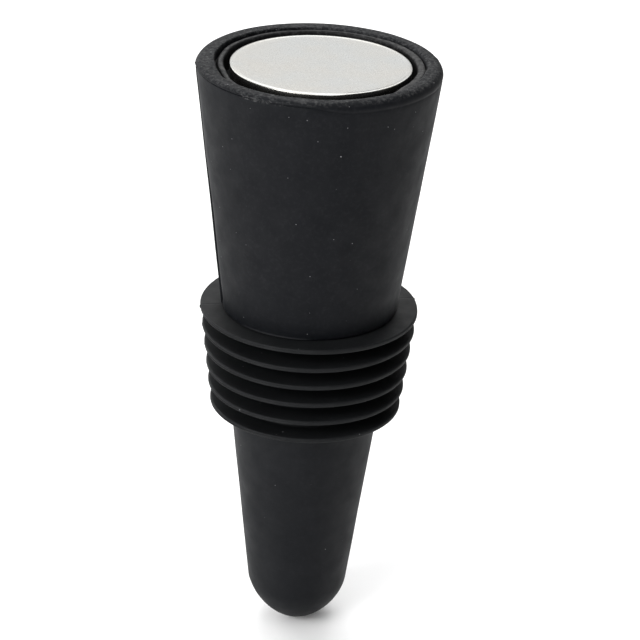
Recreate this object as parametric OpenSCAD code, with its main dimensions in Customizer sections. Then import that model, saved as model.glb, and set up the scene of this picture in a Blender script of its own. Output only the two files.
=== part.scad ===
// Bottle stopper: a tapered soft grip with a metal disc in its top, a seal collar
// of thin round fins, and a closed tapered plug.
// The origin is on the stopper's axis in the plane of the bottle's mouth, where the
// foot of the grip meets the top fin. +Z points up, out of the bottle.

/* [Grip] */
// Widest outer diameter of the grip, just under its rounded rim
grip_d = 29; // [27:0.5:31]
// Outer diameter of the grip at its foot
foot_d = 21.4; // [20.6:0.2:23]
// Height of the grip above the bottle's mouth
grip_h = 31.2; // [28:0.4:36]
// Radius of the rim's outer edge
rim_round = 1; // [0.4:0.1:1.4]
// Radius of the foot's outer edge
foot_round = 0.4; // [0.2:0.1:0.6]
// Thickness of the soft sleeve
sleeve_wall = 2.2; // [1.8:0.1:2.5]

/* [Top] */
// Width of the groove between the sleeve and the core's lip
groove_w = 0.25; // [0.15:0.05:0.4]
// Depth of that groove below the lip's top
groove_depth = 0.75; // [0.6:0.05:1.2]
// Radius of the sleeve's inner top edge
inner_round = 0.4; // [0.1:0.1:0.6]
// Width of the core's lip
lip_w = 0.75; // [0.6:0.05:1.1]
// Depth of the lip's top below the rim
lip_drop = 0.35; // [0.1:0.05:0.5]
// Gap between the lip and the metal disc
disc_gap = 0.75; // [0.3:0.05:0.9]
// Thickness of the metal disc
disc_t = 2; // [1:0.25:3]
// Depth of the disc's face below the rim
disc_recess = 0.45; // [0.1:0.05:0.8]
// Thickness of the adhesive pad
pad_t = 0.5; // [0.3:0.1:1]

/* [Seal collar] */
// Number of fins
fin_count = 6; // [4:1:7]
// Diameter of the top fin
fin_d_top = 26.5; // [24.5:0.5:28]
// Diameter of the lowest fin
fin_d_low = 23.5; // [21:0.5:24]
// Distance from one fin to the next
fin_pitch = 2.5; // [2:0.1:3]
// Thickness of a fin at its rim
fin_t = 0.6; // [0.5:0.05:0.8]
// Diameter of the collar's tube between the fins
tube_d = 17.2; // [16.4:0.2:17.8]

/* [Plug] */
// Diameter of the plug under the fins
plug_d = 18.3; // [17.8:0.1:18.5]
// Diameter of the plug where its nose starts
nose_d = 12.4; // [11:0.2:14]
// Length from the bottle's mouth to the tip of the nose
plug_len = 43.9; // [40:0.5:50]
// Length of the rounded nose
nose_h = 6; // [4:0.5:8]
// Fullness of the nose: 2 is an ellipse, less is more pointed
nose_power = 1.8; // [1.5:0.1:2.5]
// Thickness of the soft boot
boot_wall = 2.1; // [1.8:0.1:2.4]

/* [Clamp screw] */
// Thread diameter of the screw
screw_d = 3; // [2.5:0.5:3.5]
// Length of the screw under its head
screw_len = 20; // [16:1:24]

/* [Hidden] */
$fn = 96;
arc_steps = 8;
nose_steps = 24;

// Grip: the widest point lies where the rim's rounding starts
taper = atan((grip_d - foot_d) / 2 / (grip_h - rim_round));
function grip_r(z) = foot_d / 2 + z * tan(taper);
function core_r(z) = grip_r(z) - sleeve_wall;

// Top pocket and what lies in it
lip_r = core_r(grip_h) - groove_w;
pocket_r = lip_r - lip_w;
disc_r = pocket_r - disc_gap;
disc_top = grip_h - disc_recess;
ledge_z = disc_top - disc_t - pad_t;
lip_top = grip_h - lip_drop;
groove_z = lip_top - groove_depth;
lip_round = lip_w * 0.45;
disc_edge = 0.2;
disc_chamfer = 0.2;
pad_r = disc_r - 0.5;

// Boss, ribs and sockets inside the upper core
boss_r = 5.3;
head_bore_r = 3.7;
seat_z = 14;
floor_z = 9;
wall_top = 3.2;
wall_low = 2.4;
rib_count = 4;
rib_t = 1.2;
rib_top = 24;
key_r = 3.7;
key_h = 7;
key_play = 0.1;
screw_play = 0.2;

// Collar: the upper face of the top fin is the plane of the bottle's mouth
collar_h = (fin_count - 1) * fin_pitch + fin_t;
fin_round = 0.18;
fin_root_extra = 0.4;
function fin_r(i) = (fin_d_top + (fin_d_low - fin_d_top) * i / (fin_count - 1)) / 2;

// Plug and stem: the stem is the plug less the thickness of the boot
nose_z = -plug_len + nose_h;
plug_slope = (plug_d - nose_d) / 2 / (-nose_z - collar_h);
stem_r = plug_d / 2 - boot_wall;
stem_nose_h = nose_h - 0.5;
stem_nose_z = nose_z + 1.4;
lock_z = -collar_h - 4;
lock_h = 2;
lock_depth = 0.7;
lock_slant = 0.4;
hem_round = 0.25;
function plug_r(z) = plug_d / 2 + (z + collar_h) * plug_slope;

// Screw and washer
washer_r = 3.5;
washer_t = 0.6;
head_r = 2.8;
head_h = 2.2;
head_round = 0.8;
cross_w = 0.8;
cross_len = 3.4;
cross_depth = 1.2;
thread_depth = 0.35;
thread_pitch = 1.25;
screw_point = 1.5;
head_z = seat_z + washer_t;
screw_r = screw_d / 2;

// Points along an arc about a centre, from one angle to another
function arc(centre, radius, from, to) =
    [for (i = [0:arc_steps])
        let (a = from + (to - from) * i / arc_steps)
        centre + radius * [cos(a), sin(a)]];

// A rounded end that carries on a taper: r is the radius where it starts at z
function nose(r, z, height) =
    [for (i = [0:nose_steps])
        let (q = sin(90 * i / nose_steps))
        [(r - plug_slope * height * q) * pow(max(0, 1 - pow(q, nose_power)), 1 / nose_power),
         z - height * q]];

function reversed(list) = [for (i = [len(list) - 1:-1:0]) list[i]];

// Outside of the stem below the collar, with the groove that locks the boot
function stem_side() = concat(
    [[stem_r, -collar_h],
     [plug_r(lock_z) - boot_wall, lock_z],
     [plug_r(lock_z) - boot_wall - lock_depth, lock_z - lock_slant],
     [plug_r(lock_z - lock_h) - boot_wall - lock_depth, lock_z - lock_h + lock_slant],
     [plug_r(lock_z - lock_h) - boot_wall, lock_z - lock_h]],
    nose(plug_r(stem_nose_z) - boot_wall, stem_nose_z, stem_nose_h));

module lathe(points) {
    rotate_extrude() polygon(points);
}

// Solid metal disc with a rounded upper edge
module face_disc() {
    color("gainsboro")
        lathe(concat(
            [[0, disc_top - disc_t],
             [disc_r - disc_chamfer, disc_top - disc_t],
             [disc_r, disc_top - disc_t + disc_chamfer]],
            arc([disc_r - disc_edge, disc_top - disc_edge], disc_edge, 0, 90),
            [[0, disc_top]]));
}

// Round adhesive pad under the disc
module disc_adhesive() {
    color("dimgray")
        translate([0, 0, ledge_z]) cylinder(h = pad_t, r = pad_r);
}

// Outer shell of the core: a cup with a ledge for the disc and a thick floor
module core_shell() {
    lathe(concat(
        [[0, 0],
         [core_r(0), 0],
         [core_r(groove_z), groove_z],
         [lip_r, groove_z]],
        arc([lip_r - lip_round, lip_top - lip_round], lip_round, 0, 90),
        arc([pocket_r + lip_round, lip_top - lip_round], lip_round, 90, 180),
        [[pocket_r, ledge_z],
         [core_r(ledge_z) - wall_top, ledge_z],
         [core_r(floor_z) - wall_low, floor_z],
         [0, floor_z]]));
}

// Hard core of the grip, with its screw boss and ribs
module upper_core() {
    color("#303133")
        difference() {
            union() {
                core_shell();
                cylinder(h = ledge_z, r = boss_r);
                for (i = [0:rib_count - 1])
                    rotate([0, 0, i * 360 / rib_count])
                        translate([0, -rib_t / 2, floor_z / 2])
                            cube([core_r(floor_z) - wall_low / 2, rib_t, rib_top - floor_z / 2]);
            }
            translate([0, 0, seat_z]) cylinder(h = grip_h, r = head_bore_r);
            cylinder(h = grip_h, r = screw_r + screw_play);
            translate([0, 0, -1])
                cylinder(h = key_h + key_play + 1, r = key_r + key_play, $fn = 6);
        }
}

// Soft tapered skin around the core
module grip_sleeve() {
    color("#26272a")
        lathe(concat(
            [[core_r(0), 0]],
            arc([foot_d / 2 - foot_round * (1 - sin(taper)) / cos(taper), foot_round],
                foot_round, -90, -taper),
            arc([grip_d / 2 - rim_round / cos(taper), grip_h - rim_round],
                rim_round, -taper, 90),
            arc([core_r(grip_h - inner_round * (1 - sin(taper))) + inner_round * cos(taper),
                 grip_h - inner_round],
                inner_round, 90, 180 - taper)));
}

// One fin: flat above, with an underside that thickens towards the tube
module fin(r) {
    lathe(concat(
        [[stem_r, 0], [stem_r, -fin_t - fin_root_extra], [tube_d / 2, -fin_t - fin_root_extra]],
        arc([r - fin_round, -fin_t + fin_round], fin_round, -90, 0),
        arc([r - fin_round, -fin_round], fin_round, 0, 90)));
}

// Seal ring: a tube with its fins, trimmed to end under the lowest fin
module seal_collar() {
    color("#161719")
        intersection() {
            union() {
                for (i = [0:fin_count - 1])
                    translate([0, 0, -i * fin_pitch]) fin(fin_r(i));
                lathe([[stem_r, 0], [stem_r, -collar_h], [tube_d / 2, -collar_h], [tube_d / 2, 0]]);
            }
            translate([0, 0, -collar_h]) cylinder(h = collar_h, r = fin_d_top);
        }
}

// Soft closed boot that forms the plug, pulled over the stem
module plug_boot() {
    color("#232427")
        lathe(concat(
            arc([plug_d / 2 - hem_round, -collar_h - hem_round], hem_round, 90, 0),
            nose(nose_d / 2, nose_z, nose_h),
            reversed(stem_side())));
}

// Hard stem with a six-sided key on top and a pilot hole for the screw
module stem_core() {
    color("#3c3d40")
        difference() {
            union() {
                lathe(concat([[0, 0], [stem_r, 0]], stem_side()));
                cylinder(h = key_h, r = key_r, $fn = 6);
            }
            translate([0, 0, head_z - screw_len]) cylinder(h = screw_len, r = screw_r);
        }
}

module screw_washer() {
    color("silver")
        translate([0, 0, seat_z])
            difference() {
                cylinder(h = washer_t, r = washer_r);
                translate([0, 0, -1]) cylinder(h = washer_t + 2, r = screw_r + screw_play);
            }
}

// Pan head screw, its thread drawn as a stack of rings
module clamp_screw() {
    thread_end = head_z - screw_len + screw_point;
    turns = floor((key_h - thread_end) / thread_pitch);
    color("lightgray")
        difference() {
            lathe(concat(
                [[0, head_z - screw_len]],
                [for (i = [0:turns - 1]) each
                    [[screw_r - thread_depth, thread_end + i * thread_pitch],
                     [screw_r, thread_end + (i + 0.5) * thread_pitch]]],
                [[screw_r - thread_depth, thread_end + turns * thread_pitch],
                 [screw_r - thread_depth, head_z],
                 [head_r, head_z]],
                arc([head_r - head_round, head_z + head_h - head_round], head_round, 0, 90),
                [[0, head_z + head_h]]));
            for (turn = [0, 90])
                rotate([0, 0, turn])
                    translate([-cross_len / 2, -cross_w / 2, head_z + head_h - cross_depth])
                        cube([cross_len, cross_w, cross_depth + 1]);
        }
}

face_disc();
disc_adhesive();
upper_core();
grip_sleeve();
seal_collar();
plug_boot();
stem_core();
screw_washer();
clamp_screw();
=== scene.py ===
import math

import bmesh
import bpy
from mathutils import Matrix, Vector, noise


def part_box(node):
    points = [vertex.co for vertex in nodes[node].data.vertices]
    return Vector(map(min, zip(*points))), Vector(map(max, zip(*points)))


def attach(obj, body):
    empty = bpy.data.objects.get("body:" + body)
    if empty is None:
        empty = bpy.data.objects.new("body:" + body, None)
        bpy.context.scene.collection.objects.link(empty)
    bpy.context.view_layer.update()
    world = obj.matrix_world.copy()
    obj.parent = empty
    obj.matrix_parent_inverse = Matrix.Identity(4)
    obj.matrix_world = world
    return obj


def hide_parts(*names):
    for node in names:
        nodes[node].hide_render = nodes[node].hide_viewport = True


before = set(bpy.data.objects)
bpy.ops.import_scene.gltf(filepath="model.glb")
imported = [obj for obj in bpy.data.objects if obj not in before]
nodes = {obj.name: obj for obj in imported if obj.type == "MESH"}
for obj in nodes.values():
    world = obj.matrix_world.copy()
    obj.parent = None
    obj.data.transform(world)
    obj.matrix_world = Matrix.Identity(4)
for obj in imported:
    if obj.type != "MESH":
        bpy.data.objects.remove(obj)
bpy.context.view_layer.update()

# Everything is in metres, in the part's own frame: Z is the stopper's axis, the
# bottle's mouth is at Z = 0, and the camera stands on the -Y side.
MM = 0.001

# ---------------------------------------------------------------- sizes
# Places come from the boxes of the CAD nodes. The other sizes of this section
# repeat those of the CAD model.
GRIP_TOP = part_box("grip_sleeve")[1].z
GRIP_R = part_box("grip_sleeve")[1].x
COLLAR_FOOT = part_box("seal_collar")[0].z
FIN_TOP_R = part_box("seal_collar")[1].x
PLUG_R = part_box("plug_boot")[1].x
PLUG_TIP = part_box("plug_boot")[0].z
DISC_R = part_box("face_disc")[1].x
DISC_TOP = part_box("face_disc")[1].z
DISC_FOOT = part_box("face_disc")[0].z

FOOT_R = 10.7 * MM
RIM_ROUND = 1.0 * MM
FOOT_ROUND = 0.4 * MM
SLEEVE_WALL = 2.2 * MM
FIN_COUNT = 6
FIN_LOW_R = 11.75 * MM
FIN_PITCH = 2.5 * MM
FIN_T = 0.6 * MM
FIN_ROOT_T = 1.0 * MM
FIN_ROUND = 0.22 * MM
TUBE_R = 8.6 * MM
NOSE_R = 6.2 * MM
NOSE_H = 6.0 * MM
NOSE_POWER = 1.8
BOOT_WALL = 2.1 * MM
INNER_ROUND = 0.4 * MM
LIP_R = 12.18 * MM
POCKET_R = 11.43 * MM
LIP_TOP = GRIP_TOP - 0.35 * MM
GROOVE_Z = LIP_TOP - 0.75 * MM
LEDGE_Z = 28.25 * MM
CORE_FLOOR_Z = 9.0 * MM
CORE_WALL_TOP = 3.2 * MM
CORE_WALL_LOW = 2.4 * MM
BOSS_R = 5.3 * MM
HEAD_BORE_R = 3.7 * MM
SEAT_Z = 14.0 * MM
SCREW_HOLE_R = 1.7 * MM
KEY_R = 3.8 * MM
KEY_TOP = 7.1 * MM
RIB_COUNT = 4
RIB_T = 1.2 * MM
RIB_TOP = 24.0 * MM

# ---------------------------------------------------------------- surface detail
# Small shapes that the CAD model leaves out, or has in a plainer form. They are
# read from the photo, or taken as usual for moulded rubber and stamped metal.
# window() takes degrees about Z: -90 faces the camera, 180 is at its left, 0 at
# its right and 90 at the back.

# The mould's parting plane cuts the surface at these two angles about Z
PARTING = (math.radians(187), math.radians(14))
FLASH_W = 0.1 * MM
FIN_FLASH = 0.09 * MM
PLUG_FLASH = 0.05 * MM
SLEEVE_FLASH_W = 0.11 * MM
SLEEVE_FLASH = 0.05 * MM

# Sleeve: the step at the parting line, and beads of flash at the rim and foot
STEP = 0.12 * MM
STEP_MORE_LOW = 0.2 * MM
STEP_EDGE = 0.08 * MM
STEP_FADE = 2.6 * MM
NUB = 0.12 * MM
NUB_SIZE = 0.2 * MM
NUB_DOWN = 0.6 * MM
FOOT_BEAD = 0.17 * MM
FOOT_BEAD_Z = 0.14 * MM
FOOT_BEAD_W = 0.09 * MM
SLEEVE_WAVE = 0.035 * MM

# Sleeve: the rim's edges and its fine crease
EDGE_SHARPEN = 0.5
CREASE = 0.16 * MM
CREASE_DOWN = 0.18 * MM
CREASE_W = 0.17 * MM
CREASE_ELSEWHERE = 0.35
RAGGED = 0.09 * MM
RAGGED_Z = 0.05 * MM
RAGGED_SIZE = 1.3 * MM
RIM_WAVE = 0.02 * MM
RIM_DIP = 0.1 * MM
INNER_DIP = 0.14 * MM
# how far the inner edge stands in over the groove, or out from it
IN_BACK = 0.42 * MM
IN_BACK_LEFT = 0.1 * MM
IN_FRONT_RIGHT = 0.18 * MM
OUT_FRONT_RIGHT = 0.2 * MM
OUT_FRONT = 0.28 * MM

# Fins
FIN_FILLET = 0.25 * MM
FIN_WAVE = 0.05 * MM
END_FIN_SHARE = 0.25
RIM_GROOVE = 0.1 * MM
RIM_GROOVE_W = 0.1 * MM

# Plug
HEM = 0.25 * MM
NOSE_THICKER = 0.5 * MM
PLUG_WAVE = 0.03 * MM

# Disc
DISC_ROLL = 0.42 * MM
DISC_DROP = 0.08 * MM
DISC_CORNER = 0.09 * MM
DISC_CHAMFER = 0.2 * MM
DISC_BURR = 0.03 * MM
DISC_TILT = 0.09 * MM
DISC_SHIFT = 0.16 * MM

# Lip of the core
LIP_OUT_ROUND = 0.34 * MM
LIP_IN_ROUND = 0.3 * MM
LIP_WIDER = 0.22 * MM
LIP_INWARD = 0.2 * MM
LIP_WAVE = 0.04 * MM
LIP_LOWER = 0.4 * MM
LIP_TILT = (0.16, 0.05, -0.06)
RIB_OVERLAP = 0.3 * MM

# A point this close to the start of a rounded edge counts as on it
TOUCH = 0.001 * MM
# A point nearer to the axis than this is on it
AXIS_R = 1e-7
# The least angle between two meridians of a turned piece, in radians
LEAST_TURN = 0.0006

TAPER = (GRIP_R - FOOT_R) / (GRIP_TOP - RIM_ROUND)


def grip_r(z):
    return FOOT_R + z * TAPER


def core_r(z):
    """Radius at which the core meets the sleeve."""
    return grip_r(z) - SLEEVE_WALL


# ---------------------------------------------------------------- mesh helpers
def arc(centre, radius, start, end, steps=8):
    """Points (r, z) along an arc, with angles in degrees."""
    points = []
    for i in range(steps + 1):
        a = math.radians(start + (end - start) * i / steps)
        points.append((centre[0] + radius * math.cos(a), centre[1] + radius * math.sin(a)))
    return points


def line(start, end, steps):
    """Points from start up to, but not including, end."""
    across = end[0] - start[0]
    up = end[1] - start[1]
    return [(start[0] + across * i / steps, start[1] + up * i / steps) for i in range(steps)]


def turn_angles(count, fine_at=(), fine=0.4 * MM, radius=12 * MM):
    """Angles round the axis, with extra ones within fine metres of each angle in fine_at."""
    side = 6
    angles = [2 * math.pi * i / count for i in range(count)]
    for centre in fine_at:
        for k in range(-side, side + 1):
            angles.append((centre + k * fine / side / radius) % (2 * math.pi))
    angles.sort()
    kept = [angles[0]]
    for a in angles[1:]:
        if a - kept[-1] > LEAST_TURN:
            kept.append(a)
    return kept


def lathe(name, outline, angles, shape=None, smooth_under=50):
    """Turns a closed outline of (r, z) points about Z.

    shape(r, z, angle) may move a point. Edges under smooth_under degrees look smooth.
    """
    bm = bmesh.new()
    rings = []
    for r, z in outline:
        if r < AXIS_R:
            rings.append([bm.verts.new((0.0, 0.0, z))])
            continue
        ring = []
        for a in angles:
            rr, zz = shape(r, z, a) if shape else (r, z)
            ring.append(bm.verts.new((rr * math.cos(a), rr * math.sin(a), zz)))
        rings.append(ring)
    for low, high in zip(rings, rings[1:] + rings[:1]):
        n = max(len(low), len(high))
        if n == 1:
            continue
        for i in range(n):
            j = (i + 1) % n
            if len(low) == 1:
                bm.faces.new((low[0], high[j], high[i]))
            elif len(high) == 1:
                bm.faces.new((low[i], low[j], high[0]))
            else:
                bm.faces.new((low[i], low[j], high[j], high[i]))
    bmesh.ops.recalc_face_normals(bm, faces=bm.faces)
    mesh = bpy.data.meshes.new(name)
    bm.to_mesh(mesh)
    bm.free()
    mesh.shade_smooth()
    mesh.set_sharp_from_angle(angle=math.radians(smooth_under))
    piece = bpy.data.objects.new(name, mesh)
    bpy.context.scene.collection.objects.link(piece)
    return piece


def angle_between(a, b):
    """The turn from b to a, between -pi and pi."""
    return (a - b + math.pi) % (2 * math.pi) - math.pi


def bell(x, width):
    """1 at x = 0, falling smoothly to nearly 0 at twice the width."""
    return math.exp(-(x / width) ** 2)


def smoothstep(low, high, x):
    t = min(1.0, max(0.0, (x - low) / (high - low)))
    return t * t * (3 - 2 * t)


def window(angle, start, end, fade):
    """1 between two angles in degrees, falling to 0 over fade degrees outside them."""
    middle = math.radians((start + end) / 2)
    half = math.radians((end - start) / 2)
    return 1 - smoothstep(half, half + math.radians(fade), abs(angle_between(angle, middle)))


def wobble(r, z, angle, size, seed=0.0):
    """Smooth noise between about -1 and 1 at a point of the surface."""
    p = Vector((r * math.cos(angle), r * math.sin(angle), z)) / size
    return noise.noise(p + Vector((seed, 2 * seed, 0.0)))


def parting_ridge(r, angle, width, heights):
    """Height of the mould's flash line at an angle, for each of the two parting lines."""
    total = 0.0
    for centre, height in zip(PARTING, heights):
        total += height * bell(angle_between(angle, centre) * r, width)
    return total


# ---------------------------------------------------------------- pieces
def make_sleeve():
    """Soft skin of the grip: a tapered wall, a rounded rim and a ragged inner edge."""
    tilt = math.degrees(math.atan(TAPER))
    cos_t = math.cos(math.atan(TAPER))
    sin_t = math.sin(math.atan(TAPER))
    rim_centre = (GRIP_R - RIM_ROUND / cos_t, GRIP_TOP - RIM_ROUND)
    foot_centre = (FOOT_R - FOOT_ROUND * (1 - sin_t) / cos_t, FOOT_ROUND)
    inner_top = core_r(GRIP_TOP)
    inner_centre = (
        core_r(GRIP_TOP - INNER_ROUND * (1 - sin_t)) + INNER_ROUND * cos_t,
        GRIP_TOP - INNER_ROUND,
    )
    outline = line((FOOT_R - SLEEVE_WALL, 0.0), (foot_centre[0], 0.0), 3)
    outline += arc(foot_centre, FOOT_ROUND, -90, -tilt, 8)
    rim = arc(rim_centre, RIM_ROUND, -tilt, 90, 14)
    under_rim = 0.4 * MM
    below = (rim[0][0] - under_rim * TAPER, rim[0][1] - under_rim)
    outline += line(outline[-1], below, 70)[1:]
    outline += line(below, rim[0], 5)
    outline += rim
    lip = arc(inner_centre, INNER_ROUND, 90, 180 - tilt, 10)
    outline += line(rim[-1], lip[0], 5)[1:]
    outline += lip
    outline += line(lip[-1], (FOOT_R - SLEEVE_WALL, 0.0), 30)[1:]
    corner_r = grip_r(GRIP_TOP)
    rim_from = (rim_centre[0] - TOUCH, below[1] - TOUCH)
    inner_from_z = inner_centre[1] - INNER_ROUND * sin_t - TOUCH

    def shape(r, z, angle):
        outer = smoothstep(grip_r(z) - 0.9 * MM, grip_r(z) - 0.3 * MM, r)
        rr, zz = r, z
        crease = 0.0
        if r >= rim_from[0] and z >= rim_from[1]:
            # the rim's outer edge is sharper on the left, with a fine crease under it
            left = window(angle, 195, 262, 25)
            sharp = 1 - EDGE_SHARPEN * left
            rr = corner_r + (r - corner_r) * sharp
            zz = GRIP_TOP + (z - GRIP_TOP) * sharp
            crease = bell(z - rim[0][1] + CREASE_DOWN, CREASE_W)
            crease *= CREASE_ELSEWHERE + (1 - CREASE_ELSEWHERE) * left
        elif r <= inner_centre[0] + TOUCH and z >= inner_from_z:
            # the inner edge is sharper at the back left
            tight = 1 - EDGE_SHARPEN * window(angle, 110, 200, 25)
            rr = inner_top + (r - inner_top) * tight
            zz = GRIP_TOP + (z - GRIP_TOP) * tight
        rr -= CREASE * crease
        rr += outer * SLEEVE_WAVE * wobble(r, z, angle, 7 * MM, 3.1)
        rr += outer * parting_ridge(r, angle, SLEEVE_FLASH_W, (0.0, SLEEVE_FLASH))
        # the front half of the mould closed a little further in than the back half
        ahead = angle_between(angle, PARTING[0]) * r
        low = (1 - smoothstep(12 * MM, 20 * MM, z)) * smoothstep(0, 1 * MM, z)
        step = STEP + STEP_MORE_LOW * low
        step *= 1 - smoothstep(GRIP_TOP - 1.5 * MM, GRIP_TOP - 0.8 * MM, z)
        step *= max(0.0, 1 - max(0.0, ahead) / STEP_FADE)
        rr -= outer * step * smoothstep(0.0, STEP_EDGE, ahead)
        nub = bell(ahead, NUB_SIZE) * bell(z - GRIP_TOP + NUB_DOWN, NUB_SIZE)
        rr += outer * NUB * nub
        # a thin bead of flash at the front left of the foot
        bead = window(angle, -128, -98, 22) * bell(z - FOOT_BEAD_Z, FOOT_BEAD_W)
        rr += outer * FOOT_BEAD * bead
        top = smoothstep(GRIP_TOP - 1.2 * MM, GRIP_TOP - 0.1 * MM, z)
        inner = top * (1 - smoothstep(inner_top + 0.1 * MM, inner_top + 0.8 * MM, r))
        # the soft inner edge is ragged, closes the groove at the back, and stands in
        # or out a little elsewhere
        shut = window(angle, 57, 105, 14)
        ragged = wobble(12 * MM, 0.0, angle, RAGGED_SIZE, 5.3)
        rr -= inner * (IN_BACK * shut + RAGGED * ragged * (1 - shut))
        rr -= inner * IN_BACK_LEFT * window(angle, 115, 185, 20)
        rr -= inner * IN_FRONT_RIGHT * window(angle, -40, -8, 10)
        rr += inner * OUT_FRONT_RIGHT * window(angle, -70, 30, 25)
        rr += inner * OUT_FRONT * window(angle, -150, -115, 15)
        rr += inner * OUT_FRONT * window(angle, -78, -48, 12)
        zz += inner * RAGGED_Z * ragged
        zz -= inner * INNER_DIP * window(angle, -145, -50, 30)
        zz -= top * RIM_DIP * window(angle, -135, -85, 45)
        zz += (top - inner) * RIM_WAVE * wobble(r, z, angle, 3 * MM, 8.4)
        return rr, zz

    angles = turn_angles(300, PARTING, 0.5 * MM, GRIP_R)
    piece = lathe("sleeve_skin", outline, angles, shape)
    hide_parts("grip_sleeve")
    return piece


def fin_r(i):
    """Radius of one fin, counted from the top one."""
    return FIN_TOP_R + (FIN_LOW_R - FIN_TOP_R) * i / (FIN_COUNT - 1)


def make_fins():
    """Seal ring: one tube with six soft fins, each very slightly wavy."""
    inner = PLUG_R - BOOT_WALL
    outline = [(inner, COLLAR_FOOT), (inner, 0.0)]
    for i in range(FIN_COUNT):
        top = -i * FIN_PITCH
        r = fin_r(i)
        if i > 0:
            fillet = (TUBE_R + FIN_FILLET, top + FIN_FILLET)
            outline += arc(fillet, FIN_FILLET, 180, 270, 4)
        else:
            outline.append((TUBE_R, top))
        outline += line(outline[-1], (r - FIN_ROUND, top), 9)[1:]
        upper = arc((r - FIN_ROUND, top - FIN_ROUND), FIN_ROUND, 90, 0, 6)
        lower = arc((r - FIN_ROUND, top - FIN_T + FIN_ROUND), FIN_ROUND, 0, -90, 6)
        outline += upper + line(upper[-1], lower[0], 4)[1:] + lower
        if i < FIN_COUNT - 1:
            root = top - FIN_ROOT_T
            outline += line(outline[-1], (TUBE_R, root), 8)[1:]
            outline.append((TUBE_R, root))
        else:
            outline += line(outline[-1], (inner, COLLAR_FOOT), 8)[1:]

    def shape(r, z, angle):
        out = min(1.0, max(0.0, (r - TUBE_R) / (FIN_TOP_R - TUBE_R)))
        i = min(FIN_COUNT - 1, max(0, round((-z - FIN_T / 2) / FIN_PITCH)))
        wave = math.sin(2 * angle + 1.3 * i + 0.4) + 0.6 * math.sin(3 * angle - 2.1 * i)
        share = END_FIN_SHARE if i in (0, FIN_COUNT - 1) else 1.0
        zz = z + FIN_WAVE * wave * out ** 2 * share
        rr = r + out ** 3 * FIN_WAVE * wobble(r, z, angle, 5 * MM, 2.0 + i)
        ridge = parting_ridge(r, angle, FLASH_W, (FIN_FLASH, FIN_FLASH))
        rr += ridge * out ** 8
        # at the left front a shallow groove runs along the middle of the rims
        rim = smoothstep(fin_r(i) - 0.3 * MM, fin_r(i) - 0.1 * MM, r)
        middle = -i * FIN_PITCH - FIN_T / 2
        groove = bell(z - middle, RIM_GROOVE_W) * window(angle, -150, -105, 25)
        rr -= rim * RIM_GROOVE * groove
        # the top fin stays under the mouth's plane, with a faint parting mark in it
        if z > -FIN_T * 0.3 and r > FOOT_R:
            zz = min(zz, 0.0) - 0.35 * ridge
        return rr, min(zz, 0.0)

    angles = turn_angles(300, PARTING, 0.4 * MM, FIN_TOP_R)
    piece = lathe("fin_collar", outline, angles, shape)
    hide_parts("seal_collar")
    return piece


def make_plug():
    """Closed soft boot of the plug, with its rounded nose and a thin hem at the top."""
    nose_z = PLUG_TIP + NOSE_H
    slope = (PLUG_R - NOSE_R) / (COLLAR_FOOT - nose_z)

    def nose(r, z, height, steps):
        """Points of a rounded end, from radius r at height z down to the axis."""
        points = []
        for i in range(steps + 1):
            q = math.sin(math.pi / 2 * i / steps)
            full = max(0.0, 1 - q ** NOSE_POWER) ** (1 / NOSE_POWER)
            points.append(((r - slope * height * q) * full, z - height * q))
        return points

    outline = [(PLUG_R - BOOT_WALL, COLLAR_FOOT)]
    outline += arc((PLUG_R - HEM, COLLAR_FOOT - HEM), HEM, 90, 0, 6)
    outside = nose(NOSE_R, nose_z, NOSE_H, 40)
    outline += line(outline[-1], outside[0], 60)[1:]
    outline += outside
    inside = nose(NOSE_R - BOOT_WALL, nose_z + NOSE_THICKER, NOSE_H - NOSE_THICKER, 20)
    outline += reversed(inside)

    def shape(r, z, angle):
        side = smoothstep(2 * MM, 5 * MM, r)
        rr = r + side * PLUG_WAVE * wobble(r, z, angle, 6 * MM, 6.7)
        rr += side * parting_ridge(r, angle, FLASH_W, (PLUG_FLASH, PLUG_FLASH))
        return rr, z

    angles = turn_angles(260, PARTING, 0.4 * MM, PLUG_R)
    piece = lathe("plug_skin", outline, angles, shape)
    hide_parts("plug_boot")
    return piece


def make_disc():
    """Metal disc, a little off centre in its pocket; its face rolls off to a bright edge."""
    chamfer_r = DISC_R - DISC_CHAMFER
    chamfer_z = DISC_FOOT + DISC_CHAMFER
    outline = [(0.0, DISC_FOOT)]
    outline += line((1 * MM, DISC_FOOT), (chamfer_r, DISC_FOOT), 6)
    outline += [(chamfer_r, DISC_FOOT), (DISC_R, chamfer_z)]
    slope = math.degrees(math.atan(2 * DISC_DROP / DISC_ROLL))
    corner = (DISC_R - DISC_CORNER, DISC_TOP - DISC_DROP - DISC_CORNER)
    outline += arc(corner, DISC_CORNER, 0, 90 - slope, 8)
    roll_steps = 12
    for i in range(1, roll_steps + 1):
        k = 1 - i / roll_steps
        outline.append((DISC_R - DISC_CORNER - DISC_ROLL * (1 - k), DISC_TOP - DISC_DROP * k * k))
    outline += line(outline[-1], (0.5 * MM, DISC_TOP), 12)[1:]
    outline.append((0.0, DISC_TOP))

    def shape(r, z, angle):
        # the edge is rolled off at the front and left, and flat at the front right
        # and round the back, where a slight burr stands up
        if z <= chamfer_z:
            return r, z
        edge = smoothstep(DISC_R - DISC_ROLL - DISC_CORNER, DISC_R - DISC_CORNER, r)
        flat = DISC_DROP * (window(angle, -68, -20, 16) + window(angle, 20, 170, 20))
        burr = DISC_BURR * window(angle, 60, 120, 50)
        return r, z + edge * (flat + burr) - DISC_TILT * math.sin(angle) * r / DISC_R

    piece = lathe("disc_plate", outline, turn_angles(288), shape)
    piece.data.transform(Matrix.Translation((DISC_SHIFT, 0.0, 0.0)))
    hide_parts("face_disc")
    return piece


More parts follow.
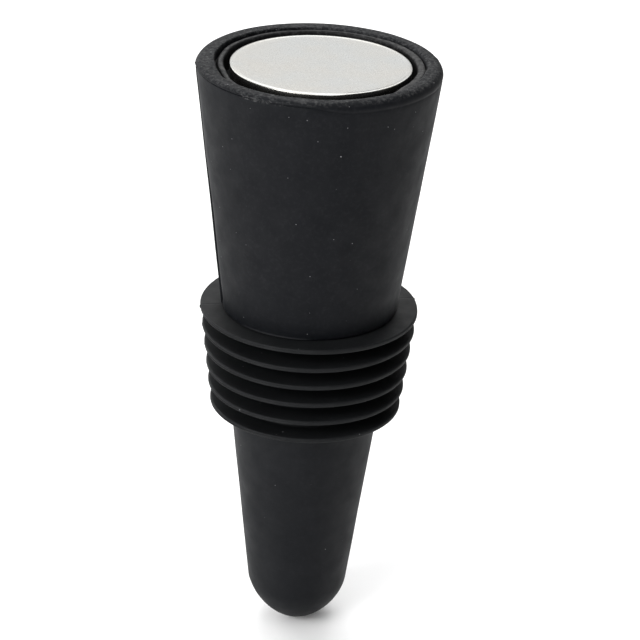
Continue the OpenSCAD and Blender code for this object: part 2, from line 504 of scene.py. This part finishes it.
def make_core():
    """Hard core with its cup, boss, screw seat, six-sided socket and ribs."""
    outline = line((KEY_R, 0.0), (core_r(0.0), 0.0), 4)
    outline += line((core_r(0.0), 0.0), (core_r(GROOVE_Z), GROOVE_Z), 10)
    outline += [(core_r(GROOVE_Z), GROOVE_Z), (LIP_R, GROOVE_Z)]
    outer_centre = (LIP_R - LIP_OUT_ROUND, LIP_TOP - LIP_OUT_ROUND)
    inner_centre = (POCKET_R + LIP_IN_ROUND, LIP_TOP - LIP_IN_ROUND)
    outline += arc(outer_centre, LIP_OUT_ROUND, 0, 90, 8)
    outline += arc(inner_centre, LIP_IN_ROUND, 90, 180, 8)
    outline += [(POCKET_R, GROOVE_Z), (POCKET_R, LEDGE_Z)]
    outline.append((core_r(LEDGE_Z) - CORE_WALL_TOP, LEDGE_Z))
    floor_r = core_r(CORE_FLOOR_Z)
    outline.append((floor_r - CORE_WALL_LOW, CORE_FLOOR_Z))
    outline += [(BOSS_R, CORE_FLOOR_Z), (BOSS_R, LEDGE_Z), (HEAD_BORE_R, LEDGE_Z)]
    outline += [(HEAD_BORE_R, SEAT_Z), (SCREW_HOLE_R, SEAT_Z)]
    outline += [(SCREW_HOLE_R, KEY_TOP), (KEY_R, KEY_TOP)]

    def shape(r, z, angle):
        if r == KEY_R:
            side = math.radians(60)
            return KEY_R * math.cos(side / 2) / math.cos(angle % side - side / 2), z
        # the lip is wider at the right, further in at the left and lower at the front
        lip = 0.0
        if r > POCKET_R - 0.1 * MM:
            lip = smoothstep(GROOVE_Z, GROOVE_Z + 0.3 * MM, z)
        outer = smoothstep(POCKET_R + 0.2 * MM, LIP_R - 0.2 * MM, r)
        rr = r + lip * outer * LIP_WIDER * window(angle, -45, 40, 25)
        rr -= lip * LIP_INWARD * window(angle, 175, 200, 24)
        rr += lip * LIP_WAVE * wobble(r, z, angle, 1.5 * MM, 1.7)
        back, right, all_round = LIP_TILT
        zz = z + lip * MM * (back * math.sin(angle) + right * math.cos(angle) + all_round)
        zz -= lip * LIP_LOWER * window(angle, 208, 314, 14)
        return rr, zz

    piece = lathe("core_cup", outline, turn_angles(300), shape, 35)
    bm = bmesh.new()
    bm.from_mesh(piece.data)
    rib_end = floor_r - CORE_WALL_LOW / 2
    length = rib_end - BOSS_R + RIB_OVERLAP
    height = RIB_TOP - CORE_FLOOR_Z / 2
    size = Matrix.Diagonal((length, RIB_T, height, 1.0))
    for i in range(RIB_COUNT):
        place = Matrix.Rotation(2 * math.pi * i / RIB_COUNT, 4, "Z")
        place @= Matrix.Translation((rib_end - length / 2, 0.0, RIB_TOP - height / 2))
        bmesh.ops.create_cube(bm, size=1.0, matrix=place @ size)
    bm.to_mesh(piece.data)
    bm.free()
    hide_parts("upper_core")
    return piece


# ---------------------------------------------------------------- materials
RUBBER_DARK = (0.0014, 0.0020, 0.0032)
RUBBER_LIGHT = (0.0026, 0.0032, 0.0046)
SEAL_DARK = (0.0050, 0.0056, 0.0062)
SEAL_LIGHT = (0.0066, 0.0072, 0.0079)
CORE_DARK = (0.003, 0.003, 0.0034)
CORE_LIGHT = (0.005, 0.005, 0.0055)
STEM_DARK = (0.02, 0.02, 0.021)
STEM_LIGHT = (0.028, 0.028, 0.03)
FOAM_DARK = (0.05, 0.05, 0.05)
FOAM_LIGHT = (0.12, 0.12, 0.12)
DISC_STEEL = (0.318, 0.318, 0.306)
SCREW_STEEL = (0.6, 0.6, 0.6)
DUST_FILM = (0.16, 0.16, 0.17)
DUST_SPECK = (0.26, 0.26, 0.27)
RUBBED_GREY = (0.12, 0.12, 0.12)
SCUFF_GREY = (0.14, 0.14, 0.14)
PLASTIC_HAZE = (0.1, 0.1, 0.1)
COOL_TINT = (0.985, 1.0, 1.015)
WARM_TINT = (1.02, 0.995, 0.965)
SMUDGE_SHADE = 0.93


class Nodes:
    """A short way to write a material's nodes."""

    def __init__(self, name):
        self.material = bpy.data.materials.new(name)
        self.material.use_nodes = True
        self.tree = self.material.node_tree
        self.tree.nodes.clear()
        out = self.tree.nodes.new("ShaderNodeOutputMaterial")
        self.shader = self.tree.nodes.new("ShaderNodeBsdfPrincipled")
        self.link(self.shader.outputs["BSDF"], out.inputs["Surface"])
        self.place = self.tree.nodes.new("ShaderNodeTexCoord").outputs["Object"]

    def link(self, source, target):
        self.tree.links.new(source, target)

    def set(self, **values):
        for key, value in values.items():
            self.shader.inputs[key.replace("_", " ")].default_value = value

    def axes(self):
        """The three coordinates of the point, in metres."""
        node = self.tree.nodes.new("ShaderNodeSeparateXYZ")
        self.link(self.place, node.inputs["Vector"])
        return node.outputs["X"], node.outputs["Y"], node.outputs["Z"]

    def noise(self, size, detail=2.0, rough=0.5, vector=None):
        """Noise whose features are about size metres across."""
        node = self.tree.nodes.new("ShaderNodeTexNoise")
        node.inputs["Scale"].default_value = 1 / size
        node.inputs["Detail"].default_value = detail
        node.inputs["Roughness"].default_value = rough
        self.link(vector or self.place, node.inputs["Vector"])
        return node.outputs["Fac"]

    def remap(self, value, low, high, to_low=0.0, to_high=1.0):
        node = self.tree.nodes.new("ShaderNodeMapRange")
        node.inputs["From Min"].default_value = low
        node.inputs["From Max"].default_value = high
        node.inputs["To Min"].default_value = to_low
        node.inputs["To Max"].default_value = to_high
        self.link(value, node.inputs["Value"])
        return node.outputs["Result"]

    def math(self, operation, a, b):
        node = self.tree.nodes.new("ShaderNodeMath")
        node.operation = operation
        for socket, value in zip(node.inputs, (a, b)):
            if isinstance(value, (int, float)):
                socket.default_value = value
            else:
                self.link(value, socket)
        return node.outputs["Value"]

    def mix(self, factor, a, b):
        """Mixes two colours, each a tuple or a socket."""
        node = self.tree.nodes.new("ShaderNodeMix")
        node.data_type = "RGBA"
        self.link(factor, node.inputs["Factor"])
        for name, value in (("A", a), ("B", b)):
            socket = next(s for s in node.inputs if s.name == name and s.type == "RGBA")
            if isinstance(value, tuple):
                socket.default_value = (*value, 1.0)
            else:
                self.link(value, socket)
        return next(s for s in node.outputs if s.type == "RGBA")

    def bump(self, height, strength, distance, normal=None):
        node = self.tree.nodes.new("ShaderNodeBump")
        node.inputs["Strength"].default_value = strength
        node.inputs["Distance"].default_value = distance
        self.link(height, node.inputs["Height"])
        if normal is not None:
            self.link(normal, node.inputs["Normal"])
        return node.outputs["Normal"]

    def specks(self, spacing, radius, share):
        """Small round specks: one cell in every 1/share holds one."""
        cells = self.tree.nodes.new("ShaderNodeTexVoronoi")
        cells.inputs["Scale"].default_value = 1 / spacing
        self.link(self.place, cells.inputs["Vector"])
        edge = radius / spacing
        near = self.remap(cells.outputs["Distance"], edge, 0.4 * edge)
        chosen = self.tree.nodes.new("ShaderNodeSeparateColor")
        self.link(cells.outputs["Color"], chosen.inputs["Color"])
        pick = self.math("LESS_THAN", chosen.outputs["Red"], share)
        return self.math("MULTIPLY", near, pick)


def silicone(name, dark, light, rough, specular, dust=1.0, grain=0.05, worn=None):
    """Matte moulded silicone: a fine grain, faint mottling, and pale dust and lint.

    Above the height worn the surface is rubbed grey, and just under it the front
    left of the shoulder is scuffed.
    """
    n = Nodes(name)
    mottle = n.noise(4 * MM, 3.0, 0.6)
    colour = n.mix(n.remap(mottle, 0.35, 0.65), dark, light)
    film = n.remap(n.noise(0.5 * MM, 4.0, 0.7), 0.5, 0.8, 0.0, 0.03 * dust)
    colour = n.mix(film, colour, DUST_FILM)
    if worn is not None:
        x, y, z = n.axes()
        rubbed = n.remap(z, worn - 0.3 * MM, worn + 0.1 * MM)
        grey = n.remap(n.noise(0.35 * MM, 3.0, 0.75), 0.48, 0.68, 0.0, 0.36)
        colour = n.mix(n.math("MULTIPLY", rubbed, grey), colour, RUBBED_GREY)
        rougher = n.remap(n.noise(0.6 * MM, 3.0, 0.7), 0.4, 0.62, 0.0, 0.2)
        blotch = n.math("MULTIPLY", rubbed, rougher)
        above = n.remap(z, worn - 0.65 * MM, worn - 0.5 * MM)
        below = n.remap(z, worn, worn - 0.2 * MM)
        band = n.math("MULTIPLY", above, below)
        right_of = n.remap(x, -9.5 * MM, -8.5 * MM)
        left_of = n.remap(x, -2.5 * MM, -4.5 * MM)
        place = n.math("MULTIPLY", right_of, left_of)
        place = n.math("MULTIPLY", place, n.math("LESS_THAN", y, 0.0))
        flecks = n.remap(n.noise(0.4 * MM, 3.0, 0.7), 0.5, 0.64)
        scuff = n.math("MULTIPLY", n.math("MULTIPLY", band, place), flecks)
        colour = n.mix(n.math("MULTIPLY", scuff, 0.4), colour, SCUFF_GREY)
    fine = n.specks(1.1 * MM, 0.07 * MM, 0.35 * dust)
    coarse = n.specks(2.6 * MM, 0.11 * MM, 0.25 * dust)
    spots = n.math("MAXIMUM", fine, coarse)
    colour = n.mix(n.math("MULTIPLY", spots, 0.75), colour, DUST_SPECK)
    n.link(colour, n.shader.inputs["Base Color"])
    patch = n.remap(n.noise(2.3 * MM, 2.0), 0.3, 0.7, rough - 0.05, rough + 0.06)
    patch = n.math("ADD", patch, n.math("MULTIPLY", spots, 0.3))
    if worn is not None:
        patch = n.math("ADD", patch, blotch)
    n.link(patch, n.shader.inputs["Roughness"])
    low = n.bump(n.noise(1.4 * MM, 2.0), 0.06, 0.25 * MM)
    skin = n.bump(n.noise(0.22 * MM, 3.0, 0.7), grain, 0.12 * MM, low)
    n.link(n.bump(spots, 0.5, 0.05 * MM, skin), n.shader.inputs["Normal"])
    n.set(Specular_IOR_Level=specular)
    return n.material


def satin_steel(name, base, rough):
    """Satin metal with a fine blasted grain, cool and warm mottling and faint smudges."""
    n = Nodes(name)
    cloud = n.remap(n.noise(5 * MM, 3.0, 0.55), 0.35, 0.65)
    cool = tuple(c * k for c, k in zip(base, COOL_TINT))
    warm = tuple(c * k for c, k in zip(base, WARM_TINT))
    colour = n.mix(cloud, cool, warm)
    smudge = n.remap(n.noise(2.2 * MM, 4.0, 0.65), 0.55, 0.8, 0.0, 0.25)
    colour = n.mix(smudge, colour, tuple(c * SMUDGE_SHADE for c in base))
    n.link(colour, n.shader.inputs["Base Color"])
    grain = n.noise(0.16 * MM, 2.0, 0.6)
    n.link(n.remap(grain, 0.3, 0.7, rough - 0.05, rough + 0.06), n.shader.inputs["Roughness"])
    n.link(n.bump(grain, 0.05, 0.03 * MM), n.shader.inputs["Normal"])
    n.set(Metallic=1.0)
    return n.material


def hard_plastic(name, dark, light, rough, specular=0.35):
    """Moulded plastic with a light spark-eroded texture."""
    n = Nodes(name)
    colour = n.mix(n.remap(n.noise(3 * MM, 3.0), 0.35, 0.65), dark, light)
    haze = n.remap(n.noise(0.4 * MM, 3.0, 0.7), 0.5, 0.7, 0.0, 0.3)
    colour = n.mix(haze, colour, PLASTIC_HAZE)
    n.link(colour, n.shader.inputs["Base Color"])
    patch = n.remap(n.noise(0.7 * MM, 3.0, 0.7), 0.35, 0.65, rough - 0.08, rough + 0.2)
    n.link(patch, n.shader.inputs["Roughness"])
    n.link(n.bump(n.noise(0.14 * MM, 2.0), 0.08, 0.05 * MM), n.shader.inputs["Normal"])
    n.set(Specular_IOR_Level=specular)
    return n.material


def foam(name):
    """Grey closed-cell foam of the adhesive pad."""
    n = Nodes(name)
    cells = n.noise(0.25 * MM, 3.0, 0.7)
    colour = n.mix(n.remap(cells, 0.3, 0.7), FOAM_DARK, FOAM_LIGHT)
    n.link(colour, n.shader.inputs["Base Color"])
    n.link(n.bump(cells, 0.4, 0.1 * MM), n.shader.inputs["Normal"])
    n.set(Roughness=0.9)
    return n.material


def wear(piece, material):
    """Puts one material on a piece or on a CAD node's object."""
    data = piece.data
    if not data.materials:
        data.materials.append(material)
    for i in range(len(piece.material_slots)):
        piece.material_slots[i].material = material


# ---------------------------------------------------------------- stage
def make_floor():
    """Pale studio floor, level with the tip of the plug."""
    size = 6.0
    bm = bmesh.new()
    bmesh.ops.create_grid(bm, x_segments=1, y_segments=1, size=size / 2)
    mesh = bpy.data.meshes.new("studio_floor")
    bm.to_mesh(mesh)
    bm.free()
    floor = bpy.data.objects.new("studio_floor", mesh)
    floor.location.z = PLUG_TIP
    bpy.context.scene.collection.objects.link(floor)
    n = Nodes("floor_white")
    colour = n.mix(n.noise(0.4, 2.0), (0.90, 0.90, 0.90), (0.92, 0.92, 0.92))
    n.link(colour, n.shader.inputs["Base Color"])
    n.set(Roughness=1.0, Specular_IOR_Level=0.0)
    wear(floor, n.material)


# Each soft box: name, place, width and height in metres, and power in watts
SOFT_BOXES = (
    ("top_box", (0.0, 0.15, 1.2), 1.0, 1.0, 7.4),
    ("back_top_box", (0.0, 0.9, 1.0), 1.0, 0.6, 7.6),
    ("back_box", (0.0, 1.3, 0.6), 1.6, 0.6, 5.4),
    ("back_left_box", (-0.85, 0.85, 0.6), 0.7, 0.7, 7.9),
    ("left_box", (-1.1, 0.0, 0.45), 0.9, 0.7, 0.9),
    ("right_box", (1.1, 0.0, 0.45), 0.9, 0.7, 1.5),
    ("front_left_box", (-0.8, -0.8, 0.5), 0.7, 0.7, 17.0),
    ("front_top_box", (0.0, -0.7, 1.0), 0.9, 0.6, 4.2),
)


def soft_box(name, place, target, width, height, power):
    """A rectangular lamp that faces the target."""
    light = bpy.data.lights.new(name, "AREA")
    light.shape = "RECTANGLE"
    light.size = width
    light.size_y = height
    light.energy = power
    lamp = bpy.data.objects.new(name, light)
    lamp.location = place
    lamp.rotation_euler = (Vector(target) - Vector(place)).to_track_quat("-Z", "Y").to_euler()
    bpy.context.scene.collection.objects.link(lamp)


def make_lights():
    """A nearly black world and the soft boxes round the stopper."""
    world = bpy.data.worlds.new("studio")
    bpy.context.scene.world = world
    world.use_nodes = True
    back = world.node_tree.nodes["Background"]
    back.inputs["Color"].default_value = (1.0, 1.0, 1.0, 1.0)
    back.inputs["Strength"].default_value = 0.02
    centre = (0.0, 0.0, -0.005)
    for name, place, width, height, power in SOFT_BOXES:
        soft_box(name, place, centre, width, height, power)


def make_camera():
    """Long lens, 25 degrees above the horizon, turned by the small lean of the view.

    The numbers are those of the camera fitted to the photo's outline, fins and disc.
    """
    elevation = math.radians(25.0)
    roll = math.radians(2.7)
    distance = 0.29103
    centre_above_view = 0.030275
    data = bpy.data.cameras.new("camera")
    data.sensor_width = 36.0
    data.lens = 140.5
    data.clip_start = 0.01
    data.clip_end = 20.0
    camera = bpy.data.objects.new("camera", data)
    turn = Matrix.Rotation(math.radians(90) - elevation, 4, "X") @ Matrix.Rotation(roll, 4, "Z")
    rim_centre = Vector((0.0, 0.0, GRIP_TOP))
    place = rim_centre - turn.to_3x3() @ Vector((0.0, centre_above_view, -distance))
    camera.matrix_world = Matrix.Translation(place) @ turn
    bpy.context.scene.collection.objects.link(camera)
    bpy.context.scene.camera = camera


# ---------------------------------------------------------------- the scene
make_camera()
sleeve = make_sleeve()
fins = make_fins()
plug = make_plug()
disc = make_disc()
core = make_core()
for part in (sleeve, fins, plug, disc, core):
    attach(part, "root")

rubbed_from = GRIP_TOP - 0.3 * MM
wear(sleeve, silicone("sleeve_finish", RUBBER_DARK, RUBBER_LIGHT, 0.62, 0.142, worn=rubbed_from))
wear(fins, silicone("seal_finish", SEAL_DARK, SEAL_LIGHT, 0.62, 0.145, 0.6, 0.03))
wear(plug, silicone("boot_finish", RUBBER_DARK, RUBBER_LIGHT, 0.62, 0.16, 0.5))
wear(disc, satin_steel("disc_finish", DISC_STEEL, 0.28))
wear(core, hard_plastic("core_finish", CORE_DARK, CORE_LIGHT, 0.5, 0.17))
wear(nodes["stem_core"], hard_plastic("stem_finish", STEM_DARK, STEM_LIGHT, 0.45))
wear(nodes["disc_adhesive"], foam("foam_finish"))
steel = satin_steel("fastener_finish", SCREW_STEEL, 0.3)
wear(nodes["clamp_screw"], steel)
wear(nodes["screw_washer"], steel)

make_floor()
make_lights()
bpy.context.scene.view_settings.view_transform = "Standard"
